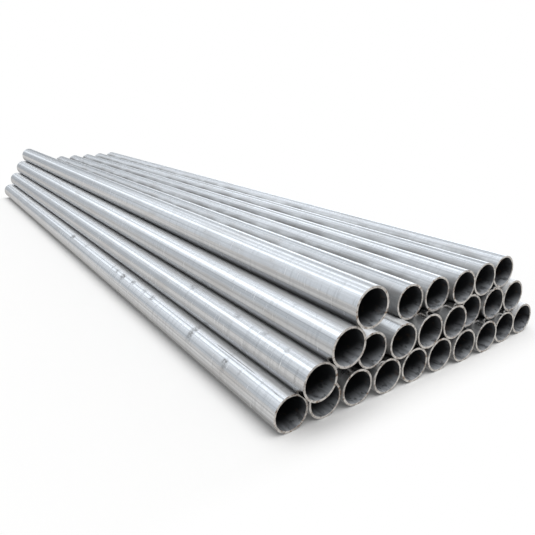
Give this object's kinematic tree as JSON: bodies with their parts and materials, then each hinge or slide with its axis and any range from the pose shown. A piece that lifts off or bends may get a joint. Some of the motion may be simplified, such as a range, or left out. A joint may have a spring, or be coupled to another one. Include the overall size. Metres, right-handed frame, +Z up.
{
  "type": "stack of steel tubes",
  "caption": "Loose stack of long round steel tubes in nested courses, with open sawn ends, as bulk stock for cutting, welding or piping.",
  "frame": {"origin": "on the floor, under the middle of the stack's box", "axes": "+Z up, +Y along the tubes from the ragged near ends to the far ends, +X across the courses"},
  "size_m": [1.6848, 6.23, 0.6056],
  "materials": {
    "tube_steel": "bright mill finish with streaks along the length, and plain sawn ends"
  },
  "bodies": {
    "root": {"bottom_tube_01": "tube_steel", "bottom_tube_02": "tube_steel", "bottom_tube_03": "tube_steel", "bottom_tube_04": "tube_steel", "bottom_tube_05": "tube_steel", "bottom_tube_06": "tube_steel", "bottom_tube_07": "tube_steel", "bottom_tube_08": "tube_steel", "bottom_tube_09": "tube_steel", "bottom_tube_10": "tube_steel", "second_tube_01": "tube_steel", "second_tube_02": "tube_steel", "second_tube_03": "tube_steel", "second_tube_04": "tube_steel", "second_tube_05": "tube_steel", "second_tube_06": "tube_steel", "second_tube_07": "tube_steel", "second_tube_08": "tube_steel", "second_tube_09": "tube_steel", "third_tube_01": "tube_steel", "third_tube_02": "tube_steel", "third_tube_03": "tube_steel", "third_tube_04": "tube_steel", "third_tube_05": "tube_steel", "third_tube_06": "tube_steel", "third_tube_07": "tube_steel", "top_tube_01": "tube_steel"}
  },
  "joints": []
}
